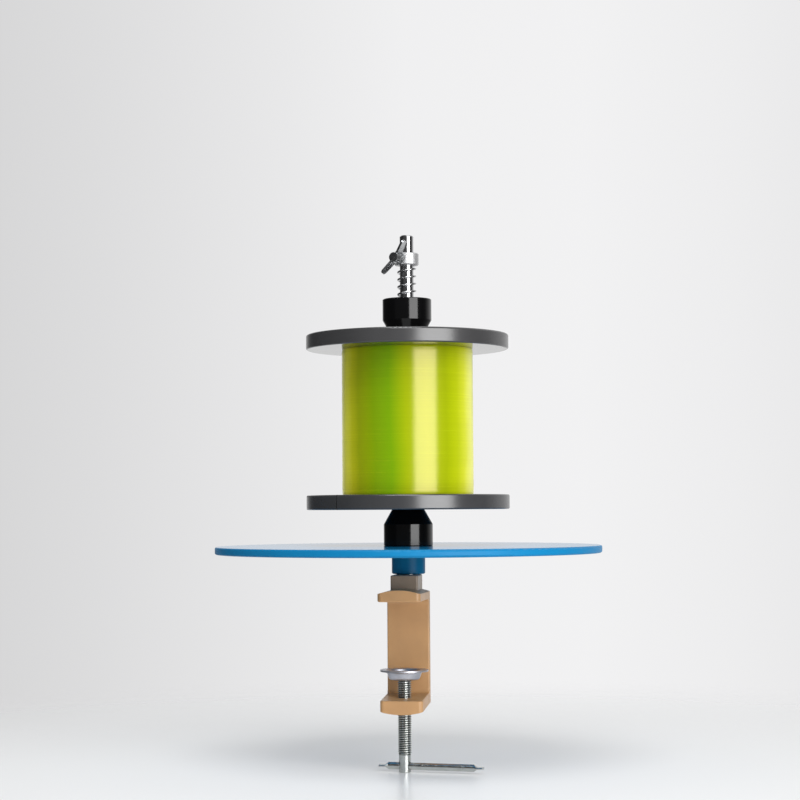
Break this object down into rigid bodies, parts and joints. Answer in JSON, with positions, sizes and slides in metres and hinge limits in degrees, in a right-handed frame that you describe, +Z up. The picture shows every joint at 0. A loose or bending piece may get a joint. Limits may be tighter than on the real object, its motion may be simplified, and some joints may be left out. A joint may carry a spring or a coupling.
{
  "type": "fishing line winder",
  "caption": "Table-clamp fishing line winder: a spindle with a free-turning disc, a bulk spool of line held between two cones, a pressure spring and a locking collar.",
  "frame": {"origin": "where the clamp screw's axis meets the flat underside of the upper jaw, which rests on the table top", "axes": "+Z up along the spindle; -Y towards the clamp's open side; +X to the right seen from the open side"},
  "size_m": [0.2232, 0.2231, 0.3077],
  "materials": {
    "clamp_paint": "satin tan stove enamel",
    "block_paint": "satin grey-brown stove enamel",
    "zinc_screw": "bright zinc plate",
    "spindle_steel": "ground and polished",
    "sleeve_aluminium": "turned",
    "hub_blue": "semi-gloss moulded",
    "bush_brass": "turned",
    "disc_blue": "gloss moulded",
    "cone_black": "gloss turned acetal",
    "spool_grey": "semi-gloss moulded",
    "line_yellow_green": "gloss wound monofilament",
    "spring_steel": "zinc plated wire",
    "collar_zinc": "bright zinc plate",
    "pad_steel": "pressed, zinc plated",
    "screw_steel": "rolled thread, zinc plated",
    "bearing_steel": "ground",
    "cage_brass": "pressed"
  },
  "bodies": {
    "clamp": {"clamp_frame": "clamp_paint", "spindle_block": "block_paint", "block_screw": "zinc_screw", "spindle_pin": "zinc_screw", "spindle": "spindle_steel", "spacer_sleeve": "sleeve_aluminium", "lower_bearing_inner_ring": "bearing_steel"},
    "turntable": {"lower_bearing_outer_ring": "bearing_steel", "turntable_hub": "hub_blue", "hub_bush": "bush_brass", "turntable_disc": "disc_blue", "lower_cone": "cone_black", "spool_lower_flange": "spool_grey", "spool_upper_flange": "spool_grey", "spool_core": "spool_grey", "spool_barrel": "spool_grey", "line_winding": "line_yellow_green"},
    "lower_ball_cage": {"lower_bearing_balls": "bearing_steel", "lower_bearing_cage": "cage_brass"},
    "upper_carrier": {"upper_bearing_inner_ring": "bearing_steel", "spring_washer": "spring_steel", "pressure_spring": "spring_steel"},
    "upper_cone": {"upper_cone": "cone_black", "upper_bush": "bush_brass", "upper_bearing_outer_ring": "bearing_steel"},
    "upper_ball_cage": {"upper_bearing_balls": "bearing_steel", "upper_bearing_cage": "cage_brass"},
    "collar": {"lock_collar": "collar_zinc"},
    "lock_tip": {"lock_tip": "bush_brass"},
    "wing_screw": {"wing_screw": "collar_zinc"},
    "clamp_pad": {"swivel_pad": "pad_steel", "pad_washer": "zinc_screw"},
    "clamp_screw": {"clamp_screw": "screw_steel"},
    "tommy_bar": {"tommy_bar": "screw_steel"}
  },
  "joints": [
    {"name": "turntable_spin", "type": "hinge", "parent": "clamp", "child": "turntable", "pos_m": [0, 0.01955, 0.036], "axis": [0, 0, 1], "continuous": true},
    {"name": "lower_ball_cage_spin", "type": "hinge", "parent": "clamp", "child": "lower_ball_cage", "pos_m": [0, 0.01955, 0.0385], "axis": [0, 0, 1], "continuous": true},
    {"name": "upper_cone_lift", "type": "slide", "parent": "clamp", "child": "upper_carrier", "axis": [0, 0, 1], "range_m": [0, 0.01], "stiffness_N_per_m": 600, "springref_m": -0.006, "deforming": ["pressure_spring"]},
    {"name": "upper_cone_spin", "type": "hinge", "parent": "upper_carrier", "child": "upper_cone", "pos_m": [0, 0.01955, 0.16797], "axis": [0, 0, 1], "continuous": true},
    {"name": "upper_ball_cage_spin", "type": "hinge", "parent": "upper_carrier", "child": "upper_ball_cage", "pos_m": [0, 0.01955, 0.17047], "axis": [0, 0, 1], "continuous": true},
    {"name": "collar_slide", "type": "slide", "parent": "clamp", "child": "collar", "axis": [0, 0, 1], "range_m": [0, 0.0104]},
    {"name": "lock_tip_slide", "type": "slide", "parent": "collar", "child": "lock_tip", "axis": [0.4067, 0.9135, 0], "range_m": [-0.00105, 0]},
    {"name": "wing_screw_turn", "type": "hinge", "parent": "lock_tip", "child": "wing_screw", "pos_m": [0, 0.01955, 0.19707], "axis": [0.4067, 0.9135, 0], "range_deg": [-550, 10]},
    {"name": "clamp_pad_slide", "type": "slide", "parent": "clamp", "child": "clamp_pad", "axis": [0, 0, 1], "range_m": [-0.00875, 0.02625]},
    {"name": "clamp_screw_turn", "type": "hinge", "parent": "clamp_pad", "child": "clamp_screw", "pos_m": [0, 0, -0.04475], "axis": [0, 0, 1], "range_deg": [-2550, 7590]},
    {"name": "tommy_bar_slide", "type": "slide", "parent": "clamp_screw", "child": "tommy_bar", "axis": [0.989, -0.1478, 0], "range_m": [-0.0373, 0.0065]}
  ],
  "couplings": [
    {"joint": "lower_ball_cage_spin", "follows": "turntable_spin", "ratio": 0.59167},
    {"joint": "upper_cone_spin", "follows": "turntable_spin", "ratio": 1},
    {"joint": "upper_ball_cage_spin", "follows": "turntable_spin", "ratio": 0.59167},
    {"joint": "wing_screw_turn", "follows": "lock_tip_slide", "rad_per_m": 8976},
    {"joint": "clamp_screw_turn", "follows": "clamp_pad_slide", "rad_per_m": 5026.5}
  ]
}
